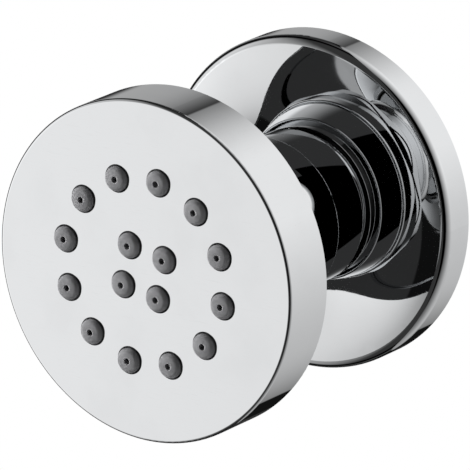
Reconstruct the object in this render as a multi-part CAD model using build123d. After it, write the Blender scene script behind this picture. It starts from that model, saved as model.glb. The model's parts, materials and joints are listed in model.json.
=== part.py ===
from build123d import *
from math import cos, pi, radians, sin, sqrt
import os

# Shower body jet: a wall flange, a ball joint held by a spanner nut, and a round spray head.
# Millimetres. The wall is the plane Y = 0 and the jet looks along -Y, with +Z up.
# "out" is the distance in front of the wall; what lies inside the wall has a negative out.

# Wall flange: a turned cover with a hollow back and a boss that rides on the socket body
flange_diameter = 51.6
flange_depth = 6.4
flange_crown_radius = 56.0
flange_crest_inset = 5.8
flange_face_thickness = 2.4
flange_rim_wall = 1.5
flange_edge_round = 1.4
flange_rear_bevel = 0.5
flange_hole_gap = 0.4
flange_hole_round = 0.3
flange_boss_wall = 2.8
flange_boss_setback = 1.2
gasket_width = 4.6
gasket_edge_gap = 0.1

# Rubber rings: sections, and the room each one is given in its groove
grip_ring_section = 1.8
restrictor_seal_section = 1.2
seat_seal_section = 1.6
plate_seal_section = 1.4
seal_clearance = 0.05
groove_side_gap = 0.15

# Socket body: wall thread, flange seat, neck, threaded spigot and the cup round the ball
thread_radius = 10.4775
thread_length = 14.0
thread_run_in = 1.0
thread_end_chamfer = 1.0
waterway_radius = 5.0
inlet_bore_radius = 7.6
inlet_bore_depth = 8.0
neck_reveal = 1.5
neck_length = 6.9
neck_step = 1.0
neck_edge_round = 0.3
flange_seat_step = 0.8
cup_wall = 1.8
cup_clearance = 0.45
cup_floor_gap = 0.87
spigot_past_ball = 0.5

# Inlet insert: flow restrictor and filter screen
restrictor_length = 4.0
restrictor_clearance = 0.1
restrictor_orifice_radius = 1.6
filter_length = 1.6
filter_wall = 0.5
filter_hole_radius = 0.55
filter_hole_pitch = 1.9
filter_ring_count = 3
first_ring_hole_count = 6

# Ball joint
ball_diameter = 17.5
neck_to_ball = 5.7
tilt_limit = 20.0
tilt_margin = 1.2
ball_clearance = 0.05
ball_inlet_radius = 4.1
stem_radius = 5.0
stem_bore_radius = 3.0
stem_end_chamfer = 0.5
stem_clearance = 0.05
stem_reach = 6.1
rear_seat_inner_angle = 45.0
rear_seat_outer_angle = 63.0
front_seat_start = 0.8
front_seat_wall = 1.1
seat_fit = 0.05
seat_play = 0.1

# Retaining nut: a round sleeve behind, spanner flats, and a domed nose over the ball
nut_gap = 0.2
nut_wall = 1.45
nut_thread_clearance = 0.05
nut_rear_round = 0.4
sleeve_width = 5.0
hex_sides = 6
hex_width = 2.8
hex_flat_stand = 0.1
hex_corner_stand = 0.7
hex_turn = -3.0
nose_step = 0.3
nose_face_width = 3.1
lip_thickness = 1.4

# Spray head shell and back plate
head_diameter = 52.0
rim_wall = 2.4
face_thickness = 1.8
face_edge_round = 0.5
rear_edge_round = 0.4
back_plate_inset = 0.6
back_plate_thickness = 2.8
back_plate_ledge = 0.5
back_plate_clearance = 0.05
hub_radius = 8.0
hub_length = 6.6
hub_cove = 1.5
hub_edge_round = 0.6
hub_shoulder = 1.4
hub_outlet_radius = 3.5
washer_thickness = 0.8
washer_gap = 0.1

# Layers inside the head
chamber_depth = 1.4
distributor_thickness = 1.6
mat_thickness = 1.2
layer_edge_gap = 0.2
feed_hole_radius = 0.9

# Spray nozzles: a ring of twelve round a ring of four, turned a little about the axis
outer_nozzles = 12
outer_ring_radius = 14.25
inner_nozzles = 4
inner_ring_radius = 4.45
inner_ring_offset = 45.0
pattern_turn = 10.6
nozzle_radius = 1.9
nozzle_tip = 0.8
nozzle_tip_round = 0.6
nozzle_feed_radius = 1.1
nozzle_orifice_radius = 0.5
nozzle_orifice_length = 1.2
nozzle_hole_clearance = 0.06
nozzle_hole_chamfer = 0.2

# Screws that clamp the distributor and the nozzle mat to the face
screw_count = 4
screw_ring_radius = 9.4
screw_radius = 0.8
screw_head_radius = 1.7
screw_head_height = 1.0
screw_socket_radius = 0.7
screw_socket_depth = 0.5
screw_bite = 0.7
screw_tip_gap = 0.1
screw_post_wall = 0.7
screw_clearance = 0.05
screw_hole_clearance = 0.15

# Radii that follow from the ball outwards
ball_radius = ball_diameter / 2
seat_sphere_radius = ball_radius + ball_clearance
cup_radius = ball_radius + cup_clearance
spigot_radius = cup_radius + cup_wall
neck_radius = spigot_radius + neck_step
flange_seat_radius = neck_radius - flange_seat_step
flange_hole_radius = flange_seat_radius + flange_hole_gap
nut_thread_radius = spigot_radius + nut_thread_clearance
sleeve_radius = nut_thread_radius + nut_wall
flat_distance = sleeve_radius + hex_flat_stand
front_seat_radius = seat_sphere_radius + front_seat_wall

# Distances from the wall, one after the other
inlet_end = -thread_length
inlet_floor = inlet_end + inlet_bore_depth
neck_start = flange_depth + neck_reveal
neck_end = neck_start + neck_length
ball_out = neck_end + neck_to_ball
ball_rear_reach = sqrt(ball_radius ** 2 - ball_inlet_radius ** 2)
cup_floor = ball_out - ball_rear_reach - cup_floor_gap
spigot_end = ball_out + spigot_past_ball
nut_start = neck_end + nut_gap
hex_start = nut_start + sleeve_width
nose_start = hex_start + hex_width

# The nut's mouth lies where the stem, leaning over to its limit, just clears the hollow of the nut
lean = radians(tilt_limit + tilt_margin)
nose_reach = cos(lean) * sqrt(cup_radius ** 2 - stem_radius ** 2) - stem_radius * sin(lean)
mouth_radius = sqrt(cup_radius ** 2 - nose_reach ** 2)
nut_front = ball_out + nose_reach
seat_pocket_end = nut_front - lip_thickness
seat_pocket_start = ball_out + front_seat_start

hub_back = nut_front + stem_reach
plate_back = hub_back + hub_length
plate_front = plate_back + back_plate_thickness
hub_floor = plate_front - hub_shoulder
stem_end = hub_floor - washer_thickness - 2 * washer_gap
head_rear = plate_back - back_plate_inset
distributor_back = plate_front + chamber_depth
mat_back = distributor_back + distributor_thickness
face_back = mat_back + mat_thickness
face_front = face_back + face_thickness
head_radius = head_diameter / 2
shell_bore = head_radius - rim_wall
chamber_radius = shell_bore - back_plate_ledge
layer_radius = chamber_radius - layer_edge_gap
pilot_radius = screw_radius + screw_clearance
post_radius = pilot_radius + screw_post_wall


def point(radius, out):
    """A place on the flat outline that is turned about the jet's axis."""
    return (radius, -out)


def outline(*corners):
    """Closed flat outline through (radius, out) corners."""
    return make_face(Polyline(*[point(r, out) for r, out in corners], close=True))


def corner_near(face, corner):
    """The outline's corner nearest to a (radius, out) place."""
    return face.vertices().sort_by_distance(Vector(*point(*corner)))[0]


def rounded(face, corner, radius):
    return fillet(corner_near(face, corner), radius)


def bevelled(face, corner, length):
    return chamfer(corner_near(face, corner), length)


def turned(face):
    """Solid of revolution of an outline about the jet's axis."""
    return revolve(face, Axis.Y)


def ring(inner, outer, back, front):
    """Plain turned ring between two radii and two distances from the wall."""
    return turned(outline((inner, back), (outer, back), (outer, front), (inner, front)))


def rod(radius, back, front):
    """Round bar on the jet's axis."""
    return Pos(0, -(back + front) / 2, 0) * Rot(90, 0, 0) * Cylinder(radius, front - back)


def seal_ring(middle_radius, section, out):
    """Round-section rubber ring on the jet's axis."""
    return Pos(0, -out, 0) * Rot(90, 0, 0) * Torus(middle_radius, section / 2)


def groove(inner, outer, section, out):
    """Square groove that takes a rubber ring of the given section."""
    half_width = section / 2 + groove_side_gap
    return ring(inner, outer, out - half_width, out + half_width)


def ball(radius):
    """Sphere on the centre of the ball joint."""
    return Pos(0, -ball_out, 0) * Sphere(radius)


def around(count, radius, turn):
    """Places evenly spaced on a circle about the axis, counted from +Z towards +X."""
    return [Rot(0, turn + 360 * k / count, 0) * Pos(0, 0, radius) for k in range(count)]


def nozzle_places():
    outer = around(outer_nozzles, outer_ring_radius, pattern_turn)
    inner = around(inner_nozzles, inner_ring_radius, pattern_turn + inner_ring_offset)
    return outer + inner


def screw_places():
    return around(screw_count, screw_ring_radius, pattern_turn)


def at_each(places, piece):
    """Copies of one piece at several places."""
    return [place * piece for place in places]


def crown_out(radius):
    """Height of the flange's crowned face at a radius; the crest is a ring between the hole and the rim."""
    crest = flange_diameter / 2 - flange_crest_inset
    return flange_depth - flange_crown_radius + sqrt(flange_crown_radius ** 2 - (radius - crest) ** 2)


def wall_flange():
    """Crowned cover plate, hollow behind, with a grooved boss in its hole."""
    rim = flange_diameter / 2
    cavity_radius = rim - flange_rim_wall
    cavity_depth = flange_depth - flange_face_thickness
    boss_radius = flange_hole_radius + flange_boss_wall
    hole_edge = crown_out(flange_hole_radius)
    rim_edge = crown_out(rim)
    back = Polyline(
        point(flange_hole_radius, hole_edge),
        point(flange_hole_radius, flange_boss_setback),
        point(boss_radius, flange_boss_setback),
        point(boss_radius, cavity_depth),
        point(cavity_radius, cavity_depth),
        point(cavity_radius, 0),
        point(rim, 0),
        point(rim, rim_edge),
    )
    crown = ThreePointArc(
        point(flange_hole_radius, hole_edge),
        point(rim - flange_crest_inset, flange_depth),
        point(rim, rim_edge),
    )
    face = make_face([back, crown])
    face = rounded(face, (rim, rim_edge), flange_edge_round)
    face = rounded(face, (flange_hole_radius, hole_edge), flange_hole_round)
    face = bevelled(face, (rim, 0), flange_rear_bevel)
    floor = flange_seat_radius + grip_ring_section + 2 * seal_clearance
    return turned(face) - groove(flange_hole_radius, floor, grip_ring_section, grip_ring_out())


def grip_ring_out():
    """The grip ring sits in the middle of the flange's boss."""
    return (flange_boss_setback + crown_out(flange_hole_radius)) / 2


def flange_grip_ring():
    """Rubber ring that holds the flange on the socket body."""
    middle = flange_seat_radius + seal_clearance + grip_ring_section / 2
    return seal_ring(middle, grip_ring_section, grip_ring_out())


def wall_gasket():
    """Foam ring inside the flange's rim, flush with the wall."""
    outer = flange_diameter / 2 - flange_rim_wall - gasket_edge_gap
    return ring(outer - gasket_width, outer, 0, flange_depth - flange_face_thickness)


def socket_body():
    """Turned brass body: inlet thread, flange seat, neck and the cup that holds the ball."""
    face = outline(
        (inlet_bore_radius, inlet_end),
        (thread_radius, inlet_end),
        (thread_radius, thread_run_in),
        (flange_seat_radius, thread_run_in),
        (flange_seat_radius, neck_start),
        (neck_radius, neck_start),
        (neck_radius, neck_end),
        (spigot_radius, neck_end),
        (spigot_radius, spigot_end),
        (cup_radius, spigot_end),
        (cup_radius, cup_floor),
        (waterway_radius, cup_floor),
        (waterway_radius, inlet_floor),
        (inlet_bore_radius, inlet_floor),
    )
    face = bevelled(face, (thread_radius, inlet_end), thread_end_chamfer)
    face = rounded(face, (neck_radius, neck_start), neck_edge_round)
    return turned(face)


def flow_restrictor():
    """Plastic plug with a small orifice, seated on the step of the inlet bore."""
    back = inlet_floor - restrictor_length
    radius = inlet_bore_radius - restrictor_clearance
    floor = inlet_bore_radius - restrictor_seal_section - 2 * seal_clearance
    plug = ring(restrictor_orifice_radius, radius, back, inlet_floor)
    return plug - groove(floor, radius, restrictor_seal_section, inlet_floor - restrictor_length / 2)


def restrictor_seal():
    """Rubber ring round the flow restrictor."""
    middle = inlet_bore_radius - seal_clearance - restrictor_seal_section / 2
    return seal_ring(middle, restrictor_seal_section, inlet_floor - restrictor_length / 2)


def filter_screen():
    """Perforated steel cap over the restrictor, on the water side."""
    front = inlet_floor - restrictor_length
    back = front - filter_length
    radius = inlet_bore_radius - restrictor_clearance
    cap = rod(radius, back, front) - rod(radius - filter_wall, back + filter_wall, front)
    hole = rod(filter_hole_radius, back, back + filter_wall)
    holes = [hole]
    for k in range(1, filter_ring_count + 1):
        holes += at_each(around(first_ring_hole_count * k, k * filter_hole_pitch, 0), hole)
    return cap - holes


def seat_seal():
    """Rubber ring on the floor of the cup that presses the rear seat to the ball."""
    seat_bore = seat_sphere_radius * sin(radians(rear_seat_inner_angle))
    return seal_ring((seat_bore + cup_radius) / 2, seat_seal_section,
                     cup_floor + seal_clearance + seat_seal_section / 2)


def rear_seat():
    """Acetal ring with a hollow spherical face behind the ball."""
    back = cup_floor + seat_seal_section + 2 * seal_clearance
    front = ball_out - seat_sphere_radius * cos(radians(rear_seat_outer_angle))
    bore = seat_sphere_radius * sin(radians(rear_seat_inner_angle))
    return ring(bore, cup_radius - seat_fit, back, front) - ball(seat_sphere_radius)


def front_seat():
    """Acetal friction ring with a hollow spherical face in front of the ball."""
    blank = rod(front_seat_radius, seat_pocket_start, seat_pocket_end - seat_play)
    return blank - ball(seat_sphere_radius)


def hexagon_blank():
    """Spanner flats whose corners are rounded until they stand just past the flats."""
    corner_round = flat_distance - hex_corner_stand / (1 / cos(pi / hex_sides) - 1)
    side = Plane(origin=(0, -hex_start, 0), x_dir=(0, 0, 1), z_dir=(0, -1, 0))
    flats = RegularPolygon(flat_distance, hex_sides, major_radius=False)
    flats = fillet(flats.vertices(), corner_round)
    return Rot(0, hex_turn, 0) * extrude(side * flats, hex_width)


def retaining_nut():
    """Nut over the ball: round sleeve, spanner flats and domed nose, bored for spigot, seat and ball."""
    nose_radius = mouth_radius + nose_face_width
    nose_root = flat_distance - nose_step
    sleeve = outline(
        (0, nut_start),
        (sleeve_radius, nut_start),
        (sleeve_radius, hex_start),
        (0, hex_start),
    )
    sleeve = rounded(sleeve, (sleeve_radius, nut_start), nut_rear_round)
    core = Polyline(
        point(nose_radius, nut_front),
        point(0, nut_front),
        point(0, nose_start),
        point(nose_root, nose_start),
    )
    dome = TangentArc(point(nose_root, nose_start), point(nose_radius, nut_front), tangent=(0, -1))
    nut = turned(sleeve) + hexagon_blank() + turned(make_face([core, dome]))
    nut -= rod(nut_thread_radius, nut_start, seat_pocket_start)
    nut -= rod(front_seat_radius + seat_fit, seat_pocket_start, seat_pocket_end)
    return nut - ball(cup_radius)


def swivel_ball():
    """Ball and hollow stem in one piece, threaded into the head's hub."""
    rear = ball_out - ball_rear_reach
    stem_root = ball_out + sqrt(ball_radius ** 2 - stem_radius ** 2)
    sides = Polyline(
        point(stem_radius, stem_root),
        point(stem_radius, stem_end),
        point(stem_bore_radius, stem_end),
        point(stem_bore_radius, rear),
        point(ball_inlet_radius, rear),
    )
    round_side = ThreePointArc(
        point(ball_inlet_radius, rear),
        point(ball_radius, ball_out),
        point(stem_radius, stem_root),
    )
    face = make_face([sides, round_side])
    return turned(bevelled(face, (stem_radius, stem_end), stem_end_chamfer))


def stem_washer():
    """Rubber washer between the end of the stem and the floor of the hub."""
    back = stem_end + washer_gap
    return ring(stem_bore_radius, stem_radius - washer_gap, back, back + washer_thickness)


def back_plate():
    """Rear of the head: a hub for the stem on a grooved disc that closes the shell."""
    plate_radius = shell_bore - back_plate_clearance
    face = outline(
        (stem_radius + stem_clearance, hub_back),
        (hub_radius, hub_back),
        (hub_radius, plate_back),
        (plate_radius, plate_back),
        (plate_radius, plate_front),
        (hub_outlet_radius, plate_front),
        (hub_outlet_radius, hub_floor),
        (stem_radius + stem_clearance, hub_floor),
    )
    face = rounded(face, (hub_radius, plate_back), hub_cove)
    face = rounded(face, (hub_radius, hub_back), hub_edge_round)
    floor = shell_bore - plate_seal_section - 2 * seal_clearance
    return turned(face) - groove(floor, plate_radius, plate_seal_section, plate_seal_out())


def plate_seal_out():
    """The plate's rubber ring sits in the middle of its edge."""
    return (plate_back + plate_front) / 2


def back_plate_seal():
    """Rubber ring between the back plate and the shell."""
    middle = shell_bore - seal_clearance - plate_seal_section / 2
    return seal_ring(middle, plate_seal_section, plate_seal_out())


def head_shell():
    """Face and rim in one turned cup, pierced for the nozzles, with screw posts behind the face."""
    face = outline(
        (0, face_front),
        (head_radius, face_front),
        (head_radius, head_rear),
        (shell_bore, head_rear),
        (shell_bore, plate_front),
        (chamber_radius, plate_front),
        (chamber_radius, face_back),
        (0, face_back),
    )
    face = rounded(face, (head_radius, face_front), face_edge_round)
    face = rounded(face, (head_radius, head_rear), rear_edge_round)
    hole = nozzle_radius + nozzle_hole_clearance
    rim = hole + nozzle_hole_chamfer
    drill = turned(outline(
        (0, face_back),
        (hole, face_back),
        (hole, face_front - nozzle_hole_chamfer),
        (rim, face_front),
        (0, face_front),
    ))
    post = rod(post_radius, mat_back, face_back)
    pilot = rod(pilot_radius, mat_back, face_back + screw_bite + screw_tip_gap)
    shell = turned(face) + at_each(screw_places(), post)
    return shell - at_each(nozzle_places(), drill) - at_each(screw_places(), pilot)


def nozzle_mat():
    """One silicone moulding: a sheet behind the face with a hollow nozzle through each hole."""
    tip = face_front + nozzle_tip
    body = outline((0, mat_back), (nozzle_radius, mat_back), (nozzle_radius, tip), (0, tip))
    body = rounded(body, (nozzle_radius, tip), nozzle_tip_round)
    feed = turned(outline(
        (0, mat_back),
        (nozzle_feed_radius, mat_back),
        (nozzle_orifice_radius, tip - nozzle_orifice_length),
        (nozzle_orifice_radius, tip),
        (0, tip),
    ))
    post_hole = rod(post_radius + screw_hole_clearance, mat_back, face_back)
    mat = rod(layer_radius, mat_back, face_back) + at_each(nozzle_places(), turned(body))
    return mat - at_each(nozzle_places(), feed) - at_each(screw_places(), post_hole)


def distributor_plate():
    """Plastic plate that backs the nozzle mat and feeds each nozzle."""
    feed = rod(feed_hole_radius, distributor_back, mat_back)
    screw_hole = rod(screw_radius + screw_hole_clearance, distributor_back, mat_back)
    plate = rod(layer_radius, distributor_back, mat_back)
    return plate - at_each(nozzle_places(), feed) - at_each(screw_places(), screw_hole)


def distributor_screws():
    """Socket-head screws through the distributor into the posts of the face."""
    head_back = distributor_back - screw_head_height
    shank = rod(screw_radius, distributor_back, face_back + screw_bite)
    side = Plane(origin=(0, -head_back, 0), x_dir=(0, 0, 1), z_dir=(0, -1, 0))
    socket = extrude(side * RegularPolygon(screw_socket_radius, hex_sides), screw_socket_depth)
    screw = rod(screw_head_radius, head_back, distributor_back) + shank - socket
    return Compound(children=at_each(screw_places(), screw))


pieces = [
    wall_flange, wall_gasket, flange_grip_ring, socket_body, flow_restrictor, restrictor_seal,
    filter_screen, seat_seal, rear_seat, front_seat, retaining_nut, swivel_ball, stem_washer,
    back_plate, back_plate_seal, head_shell, nozzle_mat, distributor_plate, distributor_screws,
]

os.makedirs("parts", exist_ok=True)
for piece in pieces:
    export_step(piece(), "parts/" + piece.__name__ + ".step")
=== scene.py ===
import json
from math import cos, pi, radians, sin

import bpy
from bpy.props import FloatProperty, FloatVectorProperty, IntProperty, PointerProperty
from bpy.types import Operator, Panel, PropertyGroup
from mathutils import Matrix, Vector


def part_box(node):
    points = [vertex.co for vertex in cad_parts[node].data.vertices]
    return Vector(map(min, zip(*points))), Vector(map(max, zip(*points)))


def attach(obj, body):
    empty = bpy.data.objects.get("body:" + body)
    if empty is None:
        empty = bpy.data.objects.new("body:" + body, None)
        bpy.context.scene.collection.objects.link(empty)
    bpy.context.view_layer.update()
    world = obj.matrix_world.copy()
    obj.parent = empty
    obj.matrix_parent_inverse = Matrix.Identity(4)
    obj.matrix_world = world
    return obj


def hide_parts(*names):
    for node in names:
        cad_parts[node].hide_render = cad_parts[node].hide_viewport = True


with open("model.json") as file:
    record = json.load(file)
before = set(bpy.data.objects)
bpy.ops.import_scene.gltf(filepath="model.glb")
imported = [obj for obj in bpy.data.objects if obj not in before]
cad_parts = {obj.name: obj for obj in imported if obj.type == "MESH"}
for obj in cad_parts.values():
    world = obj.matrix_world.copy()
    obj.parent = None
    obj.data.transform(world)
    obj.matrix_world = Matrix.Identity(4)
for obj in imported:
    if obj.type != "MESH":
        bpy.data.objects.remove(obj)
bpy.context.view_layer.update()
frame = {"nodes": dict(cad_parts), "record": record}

bl_info = {
    "name": "Shower body jet",
    "version": (1, 0, 0),
    "blender": (4, 5, 0),
    "location": "View3D > Sidebar > Body Jet",
    "description": "Finishes, inlet thread and a small studio for a chrome shower body jet",
    "category": "Object",
}

MM = 0.001

# Polished plate: the haze that touch marks add, and the depth of its waviness in metres
TOUCH_HAZE = 0.012
WAVE_DEPTH = 0.4e-6


# Settings

def recorded_colour(slot):
    """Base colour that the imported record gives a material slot."""
    return next(m["base_color"] for m in frame["record"]["materials"] if m["slot"] == slot)


def colour_of(slot, name, description):
    """Colour property whose default is the record's colour of that slot."""
    return FloatVectorProperty(
        name=name, description=description, subtype="COLOR", size=3, min=0, max=1,
        default=recorded_colour(slot),
    )


def factor_of(name, description, value):
    """Property between 0 and 1."""
    return FloatProperty(name=name, description=description, subtype="FACTOR", min=0, max=1, default=value)


def length_of(name, description, millimetres):
    """Length property with its default in millimetres."""
    return FloatProperty(name=name, description=description, unit="LENGTH", default=millimetres * MM)


def angle_of(name, description, degrees):
    """Angle property with its default in degrees."""
    return FloatProperty(name=name, description=description, subtype="ANGLE", default=radians(degrees))


def count_of(name, description, value, least=1):
    """Whole number with a lower limit."""
    return IntProperty(name=name, description=description, min=least, default=value)


class BodyJetFinishes(PropertyGroup):
    """Colours and gloss of the jet's materials."""
    chrome: colour_of("chrome_plate", "Chrome", "Polished plate on the brass pieces")
    silicone: colour_of("silicone_grey", "Silicone", "Soft nozzles in the spray face")
    rubber: colour_of("rubber_black", "Rubber", "Sealing rings and washers")
    foam: colour_of("foam_grey", "Foam", "Gasket against the wall")
    acetal: colour_of("acetal_white", "Acetal", "Seats on both sides of the ball")
    restrictor: colour_of("plastic_green", "Restrictor", "Flow restrictor in the inlet")
    distributor: colour_of("plastic_black", "Distributor", "Plate behind the nozzle mat")
    steel: colour_of("stainless", "Steel", "Filter screen and screws")
    chrome_roughness: factor_of("Chrome roughness", "Haze of the polished plate", 0.015)
    thread_roughness: factor_of("Thread roughness", "Haze of the plate on the cut thread", 0.22)
    flange_lean: FloatVectorProperty(
        name="Flange lean", description="Slopes to the right and upward of the flange's mirror",
        size=2, default=(0.0267, -0.0199),
    )
    head_edge: length_of("Head edge", "Round between the head's face and rim", 0.5)


class BodyJetSocket(PropertyGroup):
    """Sizes of the socket body that the frame's boxes and mounts don't give."""
    pitch: length_of("Thread pitch", "Half-inch pipe thread, crest to crest", 1.814)
    depth: length_of("Thread depth", "Crest to root", 1.162)
    run_in: length_of("Thread run-in", "Thread's reach in front of the wall", 1.0)
    end_bevel: length_of("End bevel", "Bevel at the thread's end", 1.0)
    neck_rear: length_of("Neck's rear", "Neck's shoulder in front of the wall", 7.9)
    neck_round: length_of("Neck round", "Round on the neck's rear edge", 0.3)
    spigot_wall: length_of("Spigot wall", "Wall between the cup and the nut's thread", 1.8)
    waterway: length_of("Waterway", "Radius of the bore behind the ball", 5.0)
    fit: length_of("Fit", "Room round the seats and seals", 0.05)
    insert_fit: length_of("Insert fit", "Room round the inlet insert", 0.1)
    nut_gap: length_of("Nut gap", "Room between the neck and the nut", 0.2)
    steps: count_of("Steps per turn", "Facets round the body and along one turn of thread", 192, least=24)


class BodyJetNozzles(PropertyGroup):
    """Pattern of the soft nozzles, a ring of twelve round a ring of four, and their domed tips."""
    outer_count: count_of("Outer count", "Nozzles in the outer ring", 12)
    inner_count: count_of("Inner count", "Nozzles in the inner ring", 4)
    outer_ring: length_of("Outer ring", "Radius of the outer ring", 14.25)
    inner_ring: length_of("Inner ring", "Radius of the inner ring", 4.45)
    outer_turn: angle_of("Outer turn", "Outer ring's turn from the top", 10.6)
    inner_turn: angle_of("Inner turn", "Inner ring's turn from the top", 55.6)
    tip: length_of("Tip", "Radius of a nozzle", 1.9)
    dome: length_of("Dome", "Rise of a nozzle's tip over its edge", 0.45)


class BodyJetStage(PropertyGroup):
    """Where the picture is taken from, the lamp and the floor."""
    azimuth: angle_of("Azimuth", "Camera's turn to the right of the jet's axis", 34.91)
    elevation: angle_of("Elevation", "Camera's height above the level", 17.48)
    distance: length_of("Distance", "Camera to the inlet's centre", 1154.35)
    aim: FloatVectorProperty(
        name="Aim", description="Picture's centre, to the right of and above the inlet's centre",
        unit="LENGTH", size=2, default=(-13.86 * MM, -6.26 * MM),
    )
    lens: FloatProperty(
        name="Lens", description="Focal length on a 36 mm wide sensor, in mm", min=1, default=587.5,
    )
    key_power: FloatProperty(
        name="Key power", description="Soft lamp on the left, one metre away", unit="POWER", default=15.0,
    )
    key_size: length_of("Key size", "Width of the soft lamp", 500)
    floor_drop: length_of("Floor drop", "Floor's depth below the jet's axis", 250)


# Shader building blocks

def set_values(node, values):
    """Put plain values on a node's inputs, by name or number."""
    for name, value in values.items():
        node.inputs[name].default_value = value


def add_node(tree, kind, values=None, **settings):
    """New shader node with its settings, and plain values on its inputs."""
    made = tree.nodes.new(kind)
    for name, value in settings.items():
        setattr(made, name, value)
    set_values(made, values or {})
    return made


def join(tree, *pairs):
    """Link each pair of an output and an input."""
    for output, target in pairs:
        tree.links.new(output, target)


def arithmetic(tree, operation, first, second=0):
    """Math node on one or two values, each an output or a plain number, and its output."""
    made = add_node(tree, "ShaderNodeMath", operation=operation)
    for socket, value in zip(made.inputs, (first, second)):
        if isinstance(value, (int, float)):
            socket.default_value = value
        else:
            tree.links.new(value, socket)
    return made.outputs["Value"]


def total(tree, first, *others):
    """Sum of values."""
    for other in others:
        first = arithmetic(tree, "ADD", first, other)
    return first


def product(tree, first, *others):
    """Product of values."""
    for other in others:
        first = arithmetic(tree, "MULTIPLY", first, other)
    return first


def less(tree, first, second):
    """First value less the second."""
    return arithmetic(tree, "SUBTRACT", first, second)


def squares(tree, first, second):
    """Sum of two values' squares."""
    return total(tree, product(tree, first, first), product(tree, second, second))


def reach(tree, across, up):
    """Distance from the jet's axis."""
    return arithmetic(tree, "SQRT", squares(tree, across, up))


def split(tree, vector):
    """A vector's parts across, along and up."""
    made = add_node(tree, "ShaderNodeSeparateXYZ")
    tree.links.new(vector, made.inputs["Vector"])
    return made.outputs["X"], made.outputs["Y"], made.outputs["Z"]


def ramp(tree, value, low, high, to_low=0.0, to_high=1.0, interpolation="SMOOTHSTEP"):
    """Value mapped from one span to another, held at both ends, and its output."""
    made = add_node(
        tree, "ShaderNodeMapRange", {1: low, 2: high, 3: to_low, 4: to_high},
        interpolation_type=interpolation,
    )
    tree.links.new(value, made.inputs["Value"])
    return made.outputs["Result"]


def noise(tree, vector, scale, detail):
    """Noise texture on a vector, and its value."""
    made = add_node(tree, "ShaderNodeTexNoise", {"Scale": scale, "Detail": detail})
    tree.links.new(vector, made.inputs["Vector"])
    return made.outputs["Fac"]


# Shared effects

VALUE = "NodeSocketFloat"
VECTOR = "NodeSocketVector"


def new_group(name, inputs, outputs):
    """Empty node group with named sockets: the group, its input node and its output node."""
    tree = bpy.data.node_groups.new(name, "ShaderNodeTree")
    for label, kind in inputs:
        tree.interface.new_socket(label, in_out="INPUT", socket_type=kind)
    for label, kind in outputs:
        tree.interface.new_socket(label, in_out="OUTPUT", socket_type=kind)
    return tree, add_node(tree, "NodeGroupInput"), add_node(tree, "NodeGroupOutput")


def placed_group(tree, name, build, where=None, **values):
    """A shared group, built on first use, placed on a vector with its own values."""
    made = add_node(tree, "ShaderNodeGroup", node_tree=bpy.data.node_groups.get(name) or build())
    set_values(made, {label.replace("_", " "): value for label, value in values.items()})
    if where is not None:
        tree.links.new(where, made.inputs["Vector"])
    return made


def polish_group():
    """Marks of polished metal: hazy patches of touch, and a faint waviness of the plate."""
    tree, given, result = new_group(
        "polish_marks",
        [("Vector", VECTOR), ("Roughness", VALUE), ("Haze", VALUE)],
        [("Roughness", VALUE), ("Film", VALUE), ("Height", VALUE)],
    )
    where = given.outputs["Vector"]
    patches = ramp(tree, noise(tree, where, scale=120, detail=5), low=0.45, high=0.75)
    wipes = add_node(tree, "ShaderNodeMapping", {"Scale": (1.0, 1.0, 14.0), "Rotation": (0.3, 0.5, 0.2)})
    tree.links.new(where, wipes.inputs["Vector"])
    strokes = ramp(tree, noise(tree, wipes.outputs["Vector"], scale=420, detail=3), low=0.55, high=0.8)
    film = arithmetic(tree, "MAXIMUM", patches, strokes)
    hazed = product(tree, film, given.outputs["Haze"])
    join(
        tree,
        (total(tree, given.outputs["Roughness"], hazed), result.inputs["Roughness"]),
        (film, result.inputs["Film"]),
        (noise(tree, where, scale=260, detail=1), result.inputs["Height"]),
    )
    return tree


def grain_group():
    """Fine moulded grain of rubber and plastic, with slow changes of shade over it."""
    tree, given, result = new_group(
        "moulded_grain",
        [("Vector", VECTOR), ("Grain Scale", VALUE), ("Shade Scale", VALUE)],
        [("Shade", VALUE), ("Height", VALUE)],
    )
    slow = add_node(tree, "ShaderNodeTexNoise", {"Detail": 3})
    fine = add_node(tree, "ShaderNodeTexNoise", {"Detail": 2})
    join(
        tree,
        (given.outputs["Vector"], slow.inputs["Vector"]),
        (given.outputs["Shade Scale"], slow.inputs["Scale"]),
        (given.outputs["Vector"], fine.inputs["Vector"]),
        (given.outputs["Grain Scale"], fine.inputs["Scale"]),
        (ramp(tree, slow.outputs["Fac"], low=0.3, high=0.7), result.inputs["Shade"]),
        (fine.outputs["Fac"], result.inputs["Height"]),
    )
    return tree


def turning_group():
    """Lathe rings about the jet's axis."""
    tree, given, result = new_group(
        "lathe_rings", [("Vector", VECTOR), ("Pitch", VALUE)], [("Height", VALUE)],
    )
    across, _, up = split(tree, given.outputs["Vector"])
    turns = arithmetic(tree, "DIVIDE", reach(tree, across, up), given.outputs["Pitch"])
    wave = arithmetic(tree, "SINE", product(tree, turns, 2 * pi))
    tree.links.new(wave, result.inputs["Height"])
    return tree


def leaning_group():
    """The surface's facing, leant by a small vector."""
    tree, given, result = new_group("leaning_face", [("Lean", VECTOR)], [("Normal", VECTOR)])
    facing = add_node(tree, "ShaderNodeNewGeometry").outputs["Normal"]
    leant = add_node(tree, "ShaderNodeVectorMath", operation="ADD")
    unit = add_node(tree, "ShaderNodeVectorMath", operation="NORMALIZE")
    join(
        tree,
        (facing, leant.inputs[0]),
        (given.outputs["Lean"], leant.inputs[1]),
        (leant.outputs["Vector"], unit.inputs[0]),
        (unit.outputs["Vector"], result.inputs["Normal"]),
    )
    return tree


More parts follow.
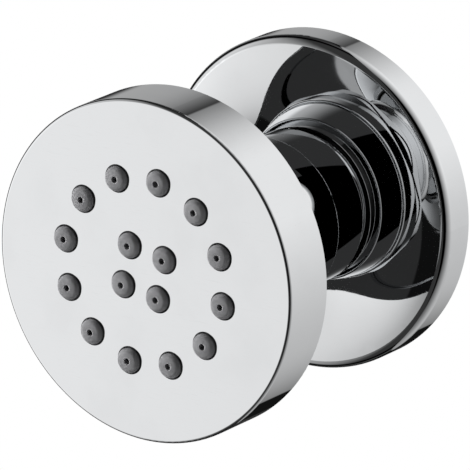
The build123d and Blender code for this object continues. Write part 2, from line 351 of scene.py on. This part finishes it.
def edge_group():
    """Even facing of a turned face, its rim and the round edge between; the mesh's own elsewhere."""
    tree, given, result = new_group(
        "turned_edge",
        [("Vector", VECTOR), ("Radius", VALUE), ("Face", VALUE), ("Round", VALUE)],
        [("Normal", VECTOR)],
    )
    across, along, up = split(tree, given.outputs["Vector"])
    away = reach(tree, across, up)
    inner = less(tree, given.outputs["Radius"], given.outputs["Round"])
    over = arithmetic(tree, "MAXIMUM", less(tree, away, inner), 0.0)
    outward = arithmetic(tree, "DIVIDE", over, away)
    rear = total(tree, given.outputs["Face"], given.outputs["Round"])
    # Never quite zero, so that the facing has a direction behind the rim too
    ahead = arithmetic(tree, "MINIMUM", less(tree, along, rear), -1e-7)
    facing = add_node(tree, "ShaderNodeCombineXYZ")
    outside = add_node(
        tree, "ShaderNodeVectorTransform", vector_type="NORMAL", convert_from="OBJECT", convert_to="WORLD",
    )
    unit = add_node(tree, "ShaderNodeVectorMath", operation="NORMALIZE")
    own = add_node(tree, "ShaderNodeNewGeometry").outputs["Normal"]
    alike = add_node(tree, "ShaderNodeVectorMath", operation="DOT_PRODUCT")
    mix = add_node(tree, "ShaderNodeMix", data_type="VECTOR")
    join(
        tree,
        (product(tree, across, outward), facing.inputs["X"]),
        (ahead, facing.inputs["Y"]),
        (product(tree, up, outward), facing.inputs["Z"]),
        (facing.outputs["Vector"], outside.inputs["Vector"]),
        (outside.outputs["Vector"], unit.inputs[0]),
        (unit.outputs["Vector"], alike.inputs[0]),
        (own, alike.inputs[1]),
        (ramp(tree, alike.outputs["Value"], low=0.8, high=0.9), mix.inputs["Factor"]),
        (own, mix.inputs["A"]),
        (unit.outputs["Vector"], mix.inputs["B"]),
        (mix.outputs["Result"], result.inputs["Normal"]),
    )
    return tree


def domes_group():
    """Height of the round tips on one ring of nozzles, 1 on each nozzle's axis and 0 at its edge."""
    tree, given, result = new_group(
        "domed_tips",
        [("Vector", VECTOR), ("Ring", VALUE), ("Half Step", VALUE), ("Turn", VALUE), ("Tip", VALUE)],
        [("Height", VALUE)],
    )
    across, _, up = split(tree, given.outputs["Vector"])
    tip = given.outputs["Tip"]
    angle = less(tree, arithmetic(tree, "ARCTAN2", across, up), given.outputs["Turn"])
    off = arithmetic(tree, "PINGPONG", angle, given.outputs["Half Step"])
    away = reach(tree, across, up)
    outward = less(tree, product(tree, away, arithmetic(tree, "COSINE", off)), given.outputs["Ring"])
    aside = product(tree, away, arithmetic(tree, "SINE", off))
    gap = arithmetic(tree, "DIVIDE", squares(tree, outward, aside), product(tree, tip, tip))
    height = arithmetic(tree, "MAXIMUM", less(tree, 1.0, gap), 0.0)
    tree.links.new(height, result.inputs["Height"])
    return tree


def card_group():
    """Soft patch of light or shade round one direction of the studio."""
    tree, given, result = new_group(
        "studio_card",
        [("Vector", VECTOR), ("Axis", VECTOR), ("Edge", VALUE), ("Core", VALUE), ("Strength", VALUE)],
        [("Value", VALUE)],
    )
    facing = add_node(tree, "ShaderNodeVectorMath", operation="DOT_PRODUCT")
    span = add_node(tree, "ShaderNodeMapRange", interpolation_type="SMOOTHSTEP")
    join(
        tree,
        (given.outputs["Vector"], facing.inputs[0]),
        (given.outputs["Axis"], facing.inputs[1]),
        (facing.outputs["Value"], span.inputs["Value"]),
        (given.outputs["Edge"], span.inputs[1]),
        (given.outputs["Core"], span.inputs[2]),
        (given.outputs["Strength"], span.inputs[4]),
        (span.outputs["Result"], result.inputs["Value"]),
    )
    return tree


# Materials

def half_width(node):
    """Radius of a round node about the jet's axis."""
    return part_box(node)[1].x


def object_place(tree):
    """Place on the surface in the piece's own frame."""
    return add_node(tree, "ShaderNodeTexCoord").outputs["Object"]


def blank_material(name):
    """New material with its node tree, surface shader and object coordinates."""
    material = bpy.data.materials.new(name)
    material.use_nodes = True
    tree = material.node_tree
    return material, tree, tree.nodes["Principled BSDF"], object_place(tree)


def shade(colour, factor):
    """A lighter or darker copy of a colour."""
    return tuple(min(1.0, c * factor) for c in colour)


def two_tones(tree, shader, mask, first, second):
    """Base colour that goes from the first tone to the second where the mask is strong."""
    mix = add_node(tree, "ShaderNodeMix", {"A": (*first, 1), "B": (*second, 1)}, data_type="RGBA")
    join(tree, (mask, mix.inputs["Factor"]), (mix.outputs["Result"], shader.inputs["Base Color"]))


def two_glosses(tree, shader, mask, first, second):
    """Roughness that goes from the first value to the second where the mask is strong."""
    tree.links.new(ramp(tree, mask, 0, 1, first, second), shader.inputs["Roughness"])


def raised(tree, shader, height, depth):
    """Relief of the given depth in metres from a height between 0 and 1, and its node."""
    bump = add_node(tree, "ShaderNodeBump", {"Distance": depth})
    join(tree, (height, bump.inputs["Height"]), (bump.outputs["Normal"], shader.inputs["Normal"]))
    return bump


def polished(tree, shader, where, finishes):
    """Metal of the mirror plate with its waviness: the nodes of its marks and its waves."""
    marks = placed_group(
        tree, "polish_marks", polish_group, where, Roughness=finishes.chrome_roughness, Haze=TOUCH_HAZE,
    )
    set_values(shader, {"Metallic": 1.0})
    return marks, raised(tree, shader, marks.outputs["Height"], WAVE_DEPTH)


def chrome_material(finishes, name):
    """Mirror plate with hazy touch marks and a faint waviness, and the socket for its facing."""
    material, tree, shader, where = blank_material(name)
    marks, waves = polished(tree, shader, where, finishes)
    two_tones(tree, shader, marks.outputs["Film"], finishes.chrome, shade(finishes.chrome, 0.97))
    tree.links.new(marks.outputs["Roughness"], shader.inputs["Roughness"])
    return material, waves.inputs["Normal"]


def flange_material(finishes):
    """The plate on the flange, whose mirror leans a little."""
    material, facing = chrome_material(finishes, "flange_chrome")
    tree = material.node_tree
    right, up = finishes.flange_lean
    mirror = placed_group(tree, "leaning_face", leaning_group, Lean=(right, 0.0, up))
    tree.links.new(mirror.outputs["Normal"], facing)
    return material


def head_material(finishes):
    """The plate on the head, even round the edge of its face."""
    material, facing = chrome_material(finishes, "head_chrome")
    tree = material.node_tree
    edge = placed_group(
        tree, "turned_edge", edge_group, object_place(tree),
        Radius=half_width("head_shell"), Face=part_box("head_shell")[0].y, Round=finishes.head_edge,
    )
    tree.links.new(edge.outputs["Normal"], facing)
    return material


def plated_thread_material(finishes):
    """The same plate on the socket body, satin on the cut thread that goes into the wall."""
    material, tree, shader, where = blank_material("plated_thread")
    marks, _ = polished(tree, shader, where, finishes)
    _, along, _ = split(tree, where)
    in_wall = ramp(tree, along, low=-2.0 * MM, high=0.0)
    satin = product(tree, in_wall, finishes.thread_roughness)
    two_tones(tree, shader, in_wall, finishes.chrome, shade(finishes.chrome, 0.88))
    tree.links.new(total(tree, marks.outputs["Roughness"], satin), shader.inputs["Roughness"])
    return material


def grained_material(name, colour, roughness, grain=9000, depth=4e-6, contrast=0.88):
    """Moulded rubber or plastic: fine grain, and a slow change to darker, glossier patches."""
    material, tree, shader, where = blank_material(name)
    surface = placed_group(tree, "moulded_grain", grain_group, where, Grain_Scale=grain, Shade_Scale=350)
    two_tones(tree, shader, surface.outputs["Shade"], colour, shade(colour, contrast))
    two_glosses(tree, shader, surface.outputs["Shade"], roughness, 0.85 * roughness)
    raised(tree, shader, surface.outputs["Height"], depth)
    return material


def nozzle_tips(tree, where, nozzles):
    """Height of the domed tips in both rings of nozzles, from 0 to 1."""
    rings = (
        (nozzles.outer_ring, nozzles.outer_count, nozzles.outer_turn),
        (nozzles.inner_ring, nozzles.inner_count, nozzles.inner_turn),
    )
    tips = [
        placed_group(
            tree, "domed_tips", domes_group, where,
            Ring=ring, Half_Step=pi / count, Turn=turn, Tip=nozzles.tip,
        )
        for ring, count, turn in rings
    ]
    return arithmetic(tree, "MAXIMUM", *(made.outputs["Height"] for made in tips))


def silicone_material(finishes, nozzles):
    """Soft matt silicone with domed tips, and painted shade round the nozzles down in the holes of the face.
    """
    material, tree, shader, where = blank_material("nozzle_silicone")
    surface = placed_group(tree, "moulded_grain", grain_group, where, Grain_Scale=7000, Shade_Scale=500)
    tips = nozzle_tips(tree, where, nozzles)
    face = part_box("head_shell")[0].y
    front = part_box("nozzle_mat")[0].y
    _, along, _ = split(tree, where)
    # Painted shade: darker down in the holes of the face, round each nozzle but not on its own tip
    shade_depth = ramp(tree, along, low=0.5 * (front + face), high=face)
    painted_hole_shade = product(tree, shade_depth, ramp(tree, tips, low=0.93, high=0.85))
    patches = product(tree, surface.outputs["Shade"], 0.25)
    mask = arithmetic(tree, "MAXIMUM", painted_hole_shade, patches)
    # The dark copy is the painted shade in the holes, and a quarter of the way to it gives random darker
    # patches
    two_tones(tree, shader, mask, shade(finishes.silicone, 1.45), shade(finishes.silicone, 0.35))
    two_glosses(tree, shader, surface.outputs["Shade"], 0.5, 0.62)
    domes = add_node(tree, "ShaderNodeBump", {"Distance": nozzles.dome})
    grain = raised(tree, shader, surface.outputs["Height"], depth=5e-6)
    join(tree, (tips, domes.inputs["Height"]), (domes.outputs["Normal"], grain.inputs["Normal"]))
    set_values(shader, {
        "Specular IOR Level": 0.35,
        "Subsurface Weight": 0.7,
        "Subsurface Radius": (1.0, 1.0, 1.0),
        "Subsurface Scale": 0.8 * MM,
    })
    return material


def foam_material(finishes):
    """Closed-cell foam: small round cells, paler on their walls."""
    material, tree, shader, where = blank_material("closed_cell_foam")
    cells = add_node(tree, "ShaderNodeTexVoronoi", {"Scale": 2200})
    tree.links.new(where, cells.inputs["Vector"])
    walls = ramp(tree, cells.outputs["Distance"], low=0.2, high=0.7)
    two_tones(tree, shader, walls, shade(finishes.foam, 0.75), shade(finishes.foam, 1.2))
    raised(tree, shader, walls, depth=60e-6)
    set_values(shader, {"Roughness": 0.9})
    return material


def acetal_material(finishes):
    """Turned acetal with lathe rings under a soft gloss."""
    material, tree, shader, where = blank_material("turned_acetal")
    rings = placed_group(tree, "lathe_rings", turning_group, where, Pitch=0.16 * MM)
    surface = placed_group(tree, "moulded_grain", grain_group, where, Grain_Scale=4000, Shade_Scale=300)
    two_tones(tree, shader, surface.outputs["Shade"], finishes.acetal, shade(finishes.acetal, 0.94))
    two_glosses(tree, shader, surface.outputs["Shade"], 0.32, 0.42)
    raised(tree, shader, rings.outputs["Height"], depth=1.5e-6)
    return material


def steel_material(finishes):
    """Rolled stainless steel with fine straight lines."""
    material, tree, shader, where = blank_material("rolled_stainless")
    stretch = add_node(tree, "ShaderNodeMapping", {"Scale": (0.04, 1.0, 1.0)})
    tree.links.new(where, stretch.inputs["Vector"])
    lines = noise(tree, stretch.outputs["Vector"], scale=9000, detail=2)
    gloss = ramp(tree, lines, low=0.3, high=0.7, to_low=0.24, to_high=0.38)
    two_tones(tree, shader, lines, finishes.steel, shade(finishes.steel, 0.8))
    raised(tree, shader, lines, depth=2e-6)
    set_values(shader, {"Metallic": 1.0})
    tree.links.new(gloss, shader.inputs["Roughness"])
    return material


def dress(material, *names):
    """Give CAD nodes their material."""
    for name in names:
        mesh = frame["nodes"][name].data
        mesh.materials.clear()
        mesh.materials.append(material)


# Shapes

def ring_point(radius, y, angle):
    """Point on a circle about the jet's axis, its angle taken from the top."""
    return Vector((radius * sin(angle), y, radius * cos(angle)))


def turned(profile, steps):
    """Points and faces of a closed profile of (radius, y) corners turned about the jet's axis."""
    points = [ring_point(radius, y, 2 * pi * k / steps) for radius, y in profile for k in range(steps)]
    rows = len(profile)
    faces = [
        (
            row * steps + k,
            row * steps + (k + 1) % steps,
            (row + 1) % rows * steps + (k + 1) % steps,
            (row + 1) % rows * steps + k,
        )
        for row in range(rows)
        for k in range(steps)
    ]
    return points, faces


def quarter_round(middle, radius, start, steps=8):
    """Profile points of a quarter circle about a (radius, y) place, from a start angle on."""
    angles = [start + pi / 2 * k / steps for k in range(steps + 1)]
    return [(middle[0] + radius * cos(a), middle[1] + radius * sin(a)) for a in angles]


def thread_ridge(crest, root, low, high, pitch, steps):
    """Points and faces of the helical ridge between two distances, faded in and out at its ends."""
    turns = (high - low - pitch) / pitch
    count = int(turns * steps)
    # One flank of the ridge: share of the thread's depth, and distance from the ridge's middle
    foot, top = pitch * 5 / 12, pitch / 12
    flank = [(0.0, foot), (0.72, 1.7 * top), (1.0, 0.6 * top)]
    section = [(rise, -offset) for rise, offset in flank] + flank[::-1]
    points = []
    for k in range(count + 1):
        middle = low + pitch / 2 + pitch * k / steps
        fade = min(1.0, 2 * k / steps, 2 * (count - k) / steps)
        for rise, offset in section:
            radius = root + (crest - root) * rise * fade
            points.append(ring_point(radius, middle + offset, 2 * pi * k / steps))
    wide = len(section)
    faces = [
        (k * wide + j, k * wide + j + 1, (k + 1) * wide + j + 1, (k + 1) * wide + j)
        for k in range(count)
        for j in range(wide - 1)
    ]
    return points, faces


def socket_profile(sizes, root, inlet):
    """Closed profile of the socket body, along the outside into the wall and back through the bores."""
    neck = half_width("socket_body")
    cup = half_width("rear_seat") + sizes.fit
    spigot = cup + sizes.spigot_wall
    bore = half_width("flow_restrictor") + sizes.insert_fit
    grip_low, grip_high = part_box("flange_grip_ring")
    seat = grip_high.x - (grip_high.y - grip_low.y) - sizes.fit
    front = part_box("socket_body")[0].y
    neck_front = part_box("retaining_nut")[1].y + sizes.nut_gap
    bore_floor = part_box("flow_restrictor")[0].y
    cup_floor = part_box("seat_seal")[1].y + sizes.fit
    shoulder = quarter_round(
        (neck - sizes.neck_round, -sizes.neck_rear - sizes.neck_round), sizes.neck_round, 0.0,
    )
    return [
        (spigot, front), (spigot, neck_front), (neck, neck_front), *shoulder,
        (seat, -sizes.neck_rear), (seat, -sizes.run_in), (root, -sizes.run_in),
        (root, inlet - sizes.end_bevel), (root - sizes.end_bevel, inlet), (bore, inlet),
        (bore, bore_floor), (sizes.waterway, bore_floor), (sizes.waterway, cup_floor),
        (cup, cup_floor), (cup, front),
    ]


def add_object(name, data):
    """New object in the scene."""
    made = bpy.data.objects.new(name, data)
    bpy.context.scene.collection.objects.link(made)
    return made


def new_piece(name, parts, body, material):
    """Smooth-shaded mesh made of parts, each points and faces, that rides on a body."""
    points, faces = [], []
    for more_points, more_faces in parts:
        faces += [tuple(i + len(points) for i in face) for face in more_faces]
        points += more_points
    mesh = bpy.data.meshes.new(name)
    mesh.from_pydata(points, [], faces)
    mesh.validate()
    mesh.shade_smooth()
    mesh.set_sharp_from_angle(angle=radians(32))
    mesh.materials.append(material)
    piece = add_object(name, mesh)
    even = piece.modifiers.new("even_shading", "WEIGHTED_NORMAL")
    even.keep_sharp = True
    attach(piece, body)
    return piece


# Stage

def white_to_camera(tree, shown, white, surface):
    """Show plain white to the camera, and the given shader to all else."""
    path = add_node(tree, "ShaderNodeLightPath")
    mix = add_node(tree, "ShaderNodeMixShader")
    join(
        tree,
        (path.outputs["Is Camera Ray"], mix.inputs["Fac"]),
        (shown, mix.inputs[1]),
        (white, mix.inputs[2]),
        (mix.outputs["Shader"], surface),
    )


def studio_cards(tree, direction):
    """Brightness of the studio by direction: two white walls, a white table, and dark flags between."""
    def card(axis, edge, core, strength=1.0):
        made = placed_group(
            tree, "studio_card", card_group, direction,
            Axis=Vector(axis).normalized(), Edge=edge, Core=core, Strength=strength,
        )
        return made.outputs["Value"]

    _, along, up = split(tree, direction)
    behind = ramp(tree, along, low=0.05, high=0.4)
    ahead = ramp(tree, along, low=0.5, high=0.1)

    # Right wall, brighter towards its rear and its top, and the flag in front of it
    right_side = card(axis=(0.96, 0.27, 0.05), edge=0.0, core=0.02)
    right_wall = product(
        tree,
        card(axis=(1, 0, 0), edge=-0.6, core=0.27, strength=0.98),
        ramp(tree, up, low=-0.62, high=0.25, to_low=0.57, interpolation="LINEAR"),
        arithmetic(tree, "MAXIMUM", behind, right_side),
        ramp(tree, along, low=-0.85, high=0.5, interpolation="LINEAR"),
        ramp(tree, along, low=-0.66, high=-0.5),
    )
    right_flag = product(tree, right_side, ahead)

    # Left wall and table in front, and the flag behind them
    left_wall = card(axis=(-1.0, -0.1, -0.15), edge=0.35, core=1.0, strength=0.9)
    table = card(axis=(-0.643, -0.714, -0.276), edge=0.92, core=0.985, strength=0.49)
    fill = 0.04
    left_end = ramp(tree, along, low=-0.1, high=-0.35)
    left_flag = product(tree, card(axis=(-0.948, -0.305, -0.0786), edge=0.0, core=0.02), behind)

    # What shows in the left flag: a soft glow, a low window and a dim rest
    glow = product(
        tree,
        card(axis=(-0.595, 0.776, 0.159), edge=0.86, core=1.0, strength=0.38),
        ramp(tree, up, low=-0.15, high=0.02),
    )
    window = product(
        tree,
        card(axis=(0.8637, 0.3989, -0.308), edge=0.0, core=0.003, strength=0.42),
        ramp(tree, up, low=-0.315, high=-0.3),
    )
    dim = less(tree, 0.034, card(axis=(0.8805, 0.4741, 0.0), edge=0.0, core=0.01, strength=0.027))

    front = product(tree, total(tree, left_wall, table, fill), left_end, less(tree, 1.0, right_flag))
    lit = product(tree, total(tree, right_wall, front), less(tree, 1.0, left_flag))
    return total(tree, lit, product(tree, left_flag, total(tree, glow, window, dim)))


def studio_world():
    """White to the camera; to the metal, a studio of white walls and dark flags."""
    world = bpy.data.worlds.new("studio")
    world.use_nodes = True
    tree = world.node_tree
    direction = add_node(tree, "ShaderNodeTexCoord").outputs["Generated"]
    studio = tree.nodes["Background"]
    tree.links.new(studio_cards(tree, direction), studio.inputs["Color"])
    white = add_node(tree, "ShaderNodeBackground", {"Color": (1, 1, 1, 1)})
    white_to_camera(
        tree, studio.outputs["Background"], white.outputs["Background"],
        tree.nodes["World Output"].inputs["Surface"],
    )
    return world


def floor_material():
    """Matt white floor that the camera sees as plain white."""
    material, tree, shader, _ = blank_material("white_floor")
    set_values(shader, {"Base Color": (0.9, 0.9, 0.9, 1), "Roughness": 0.9})
    white = add_node(tree, "ShaderNodeEmission")
    white_to_camera(
        tree, shader.outputs["BSDF"], white.outputs["Emission"],
        tree.nodes["Material Output"].inputs["Surface"],
    )
    return material


def add_floor(stage):
    """Square floor below the jet, which the metal doesn't mirror."""
    half = 2.0
    corners = [(-half, -half), (half, -half), (half, half), (-half, half)]
    mesh = bpy.data.meshes.new("floor")
    mesh.from_pydata([(x, y, -stage.floor_drop) for x, y in corners], [], [(0, 1, 2, 3)])
    mesh.materials.append(floor_material())
    floor = add_object("floor", mesh)
    floor.visible_glossy = False


def add_key(stage):
    """Soft round lamp in front on the left, which the metal doesn't mirror."""
    key = bpy.data.lights.new("key", "AREA")
    key.shape = "DISK"
    key.size = stage.key_size
    key.energy = stage.key_power
    towards = Vector((-0.8, -0.5, 0.35)).normalized()
    facing = towards.to_track_quat("Z", "Y").to_matrix().to_4x4()
    lamp = add_object("key", key)
    lamp.matrix_world = Matrix.Translation(towards) @ facing
    lamp.visible_glossy = False


def add_camera(stage):
    """Camera at the photograph's angle."""
    turn, rise = stage.azimuth, stage.elevation
    right = Vector((cos(turn), sin(turn), 0))
    back = Vector((sin(turn) * cos(rise), -cos(turn) * cos(rise), sin(rise)))
    up = back.cross(right)
    lens = bpy.data.cameras.new("camera")
    lens.sensor_width = 36
    lens.lens = stage.lens
    lens.clip_end = 100
    place = right * stage.aim[0] + up * stage.aim[1] + back * stage.distance
    facing = Matrix((right, up, back)).transposed().to_4x4()
    camera = add_object("camera", lens)
    camera.matrix_world = Matrix.Translation(place) @ facing
    return camera


# Operators

class BODYJET_OT_chrome_pieces(Operator):
    """Give the flange, the nut, the ball, the back plate and the head shell their mirror plate"""
    bl_idname = "bodyjet.chrome_pieces"
    bl_label = "Chrome pieces"

    def execute(self, context):
        finishes = context.scene.bodyjet_finishes
        plate, _ = chrome_material(finishes, "polished_chrome")
        dress(plate, "retaining_nut", "swivel_ball", "back_plate")
        dress(head_material(finishes), "head_shell")
        dress(flange_material(finishes), "wall_flange")
        return {"FINISHED"}


class BODYJET_OT_socket_body(Operator):
    """Turn the socket body again, with the half-inch pipe thread cut on its inlet"""
    bl_idname = "bodyjet.socket_body"
    bl_label = "Socket body"

    def execute(self, context):
        sizes = context.scene.bodyjet_socket
        thread = next(m["dims"] for m in frame["record"]["mounts"] if m["name"] == "inlet_thread")
        crest, inlet = thread["r_mm"] * MM, thread["length_mm"] * MM
        root = crest - sizes.depth
        body = turned(socket_profile(sizes, root, inlet), sizes.steps)
        ridge = thread_ridge(crest, root, -sizes.run_in, inlet - sizes.end_bevel, sizes.pitch, sizes.steps)
        piece = new_piece(
            "threaded_socket_body", (body, ridge), "wall_mount",
            plated_thread_material(context.scene.bodyjet_finishes),
        )
        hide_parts("socket_body")
        return {"FINISHED"}


class BODYJET_OT_nozzle_mat(Operator):
    """Give the soft nozzles their silicone"""
    bl_idname = "bodyjet.nozzle_mat"
    bl_label = "Nozzle mat"

    def execute(self, context):
        scene = context.scene
        dress(silicone_material(scene.bodyjet_finishes, scene.bodyjet_nozzles), "nozzle_mat")
        return {"FINISHED"}


class BODYJET_OT_rubber_rings(Operator):
    """Give the sealing rings and the washer their rubber"""
    bl_idname = "bodyjet.rubber_rings"
    bl_label = "Rubber rings"

    def execute(self, context):
        rubber = grained_material("ring_rubber", context.scene.bodyjet_finishes.rubber, roughness=0.55)
        dress(rubber, "flange_grip_ring", "restrictor_seal", "seat_seal", "back_plate_seal", "stem_washer")
        return {"FINISHED"}


class BODYJET_OT_ball_seats(Operator):
    """Give the two seats of the ball their turned acetal"""
    bl_idname = "bodyjet.ball_seats"
    bl_label = "Ball seats"

    def execute(self, context):
        dress(acetal_material(context.scene.bodyjet_finishes), "rear_seat", "front_seat")
        return {"FINISHED"}


class BODYJET_OT_inlet_insert(Operator):
    """Give the flow restrictor its moulded plastic"""
    bl_idname = "bodyjet.inlet_insert"
    bl_label = "Inlet insert"

    def execute(self, context):
        finishes = context.scene.bodyjet_finishes
        dress(grained_material("restrictor_plastic", finishes.restrictor, roughness=0.38), "flow_restrictor")
        return {"FINISHED"}


class BODYJET_OT_distributor(Operator):
    """Give the distributor plate its moulded plastic"""
    bl_idname = "bodyjet.distributor"
    bl_label = "Distributor"

    def execute(self, context):
        finishes = context.scene.bodyjet_finishes
        plastic = grained_material(
            "distributor_plastic", finishes.distributor, roughness=0.6, grain=5000, depth=8e-6,
        )
        dress(plastic, "distributor_plate")
        return {"FINISHED"}


class BODYJET_OT_steel_pieces(Operator):
    """Give the filter screen and the screws their stainless steel"""
    bl_idname = "bodyjet.steel_pieces"
    bl_label = "Steel pieces"

    def execute(self, context):
        dress(steel_material(context.scene.bodyjet_finishes), "filter_screen", "distributor_screws")
        return {"FINISHED"}


class BODYJET_OT_wall_gasket(Operator):
    """Give the gasket its closed-cell foam"""
    bl_idname = "bodyjet.wall_gasket"
    bl_label = "Wall gasket"

    def execute(self, context):
        dress(foam_material(context.scene.bodyjet_finishes), "wall_gasket")
        return {"FINISHED"}


class BODYJET_OT_stage(Operator):
    """Set up the floor, the studio's light and the camera at the photograph's angle"""
    bl_idname = "bodyjet.stage"
    bl_label = "Stage"

    def execute(self, context):
        scene = context.scene
        stage = scene.bodyjet_stage
        add_floor(stage)
        add_key(stage)
        scene.world = studio_world()
        scene.view_settings.view_transform = "Standard"
        scene.camera = add_camera(stage)
        return {"FINISHED"}


OPERATORS = (
    BODYJET_OT_chrome_pieces, BODYJET_OT_socket_body, BODYJET_OT_nozzle_mat, BODYJET_OT_rubber_rings,
    BODYJET_OT_ball_seats, BODYJET_OT_inlet_insert, BODYJET_OT_distributor, BODYJET_OT_steel_pieces,
    BODYJET_OT_wall_gasket, BODYJET_OT_stage,
)
SETTINGS = {
    "bodyjet_finishes": BodyJetFinishes,
    "bodyjet_socket": BodyJetSocket,
    "bodyjet_nozzles": BodyJetNozzles,
    "bodyjet_stage": BodyJetStage,
}


class BODYJET_PT_panel(Panel):
    """Sizes, colours and steps of the body jet"""
    bl_idname = "BODYJET_PT_panel"
    bl_label = "Shower body jet"
    bl_space_type = "VIEW_3D"
    bl_region_type = "UI"
    bl_category = "Body Jet"

    def draw(self, context):
        for name, kind in SETTINGS.items():
            box = self.layout.box()
            for label in kind.__annotations__:
                box.prop(getattr(context.scene, name), label)
        for operator in OPERATORS:
            self.layout.operator(operator.bl_idname)


CLASSES = (*SETTINGS.values(), *OPERATORS, BODYJET_PT_panel)


def register():
    """Make the classes and the scene's settings known."""
    for cls in CLASSES:
        bpy.utils.register_class(cls)
    for name, kind in SETTINGS.items():
        setattr(bpy.types.Scene, name, PointerProperty(type=kind))


def unregister():
    """Take the settings and the classes away again."""
    for name in SETTINGS:
        delattr(bpy.types.Scene, name)
    for cls in reversed(CLASSES):
        bpy.utils.unregister_class(cls)


def main():
    """Run every operator."""
    register()
    for operator in OPERATORS:
        group, name = operator.bl_idname.split(".")
        getattr(getattr(bpy.ops, group), name)()


if __name__ == "__main__":
    main()
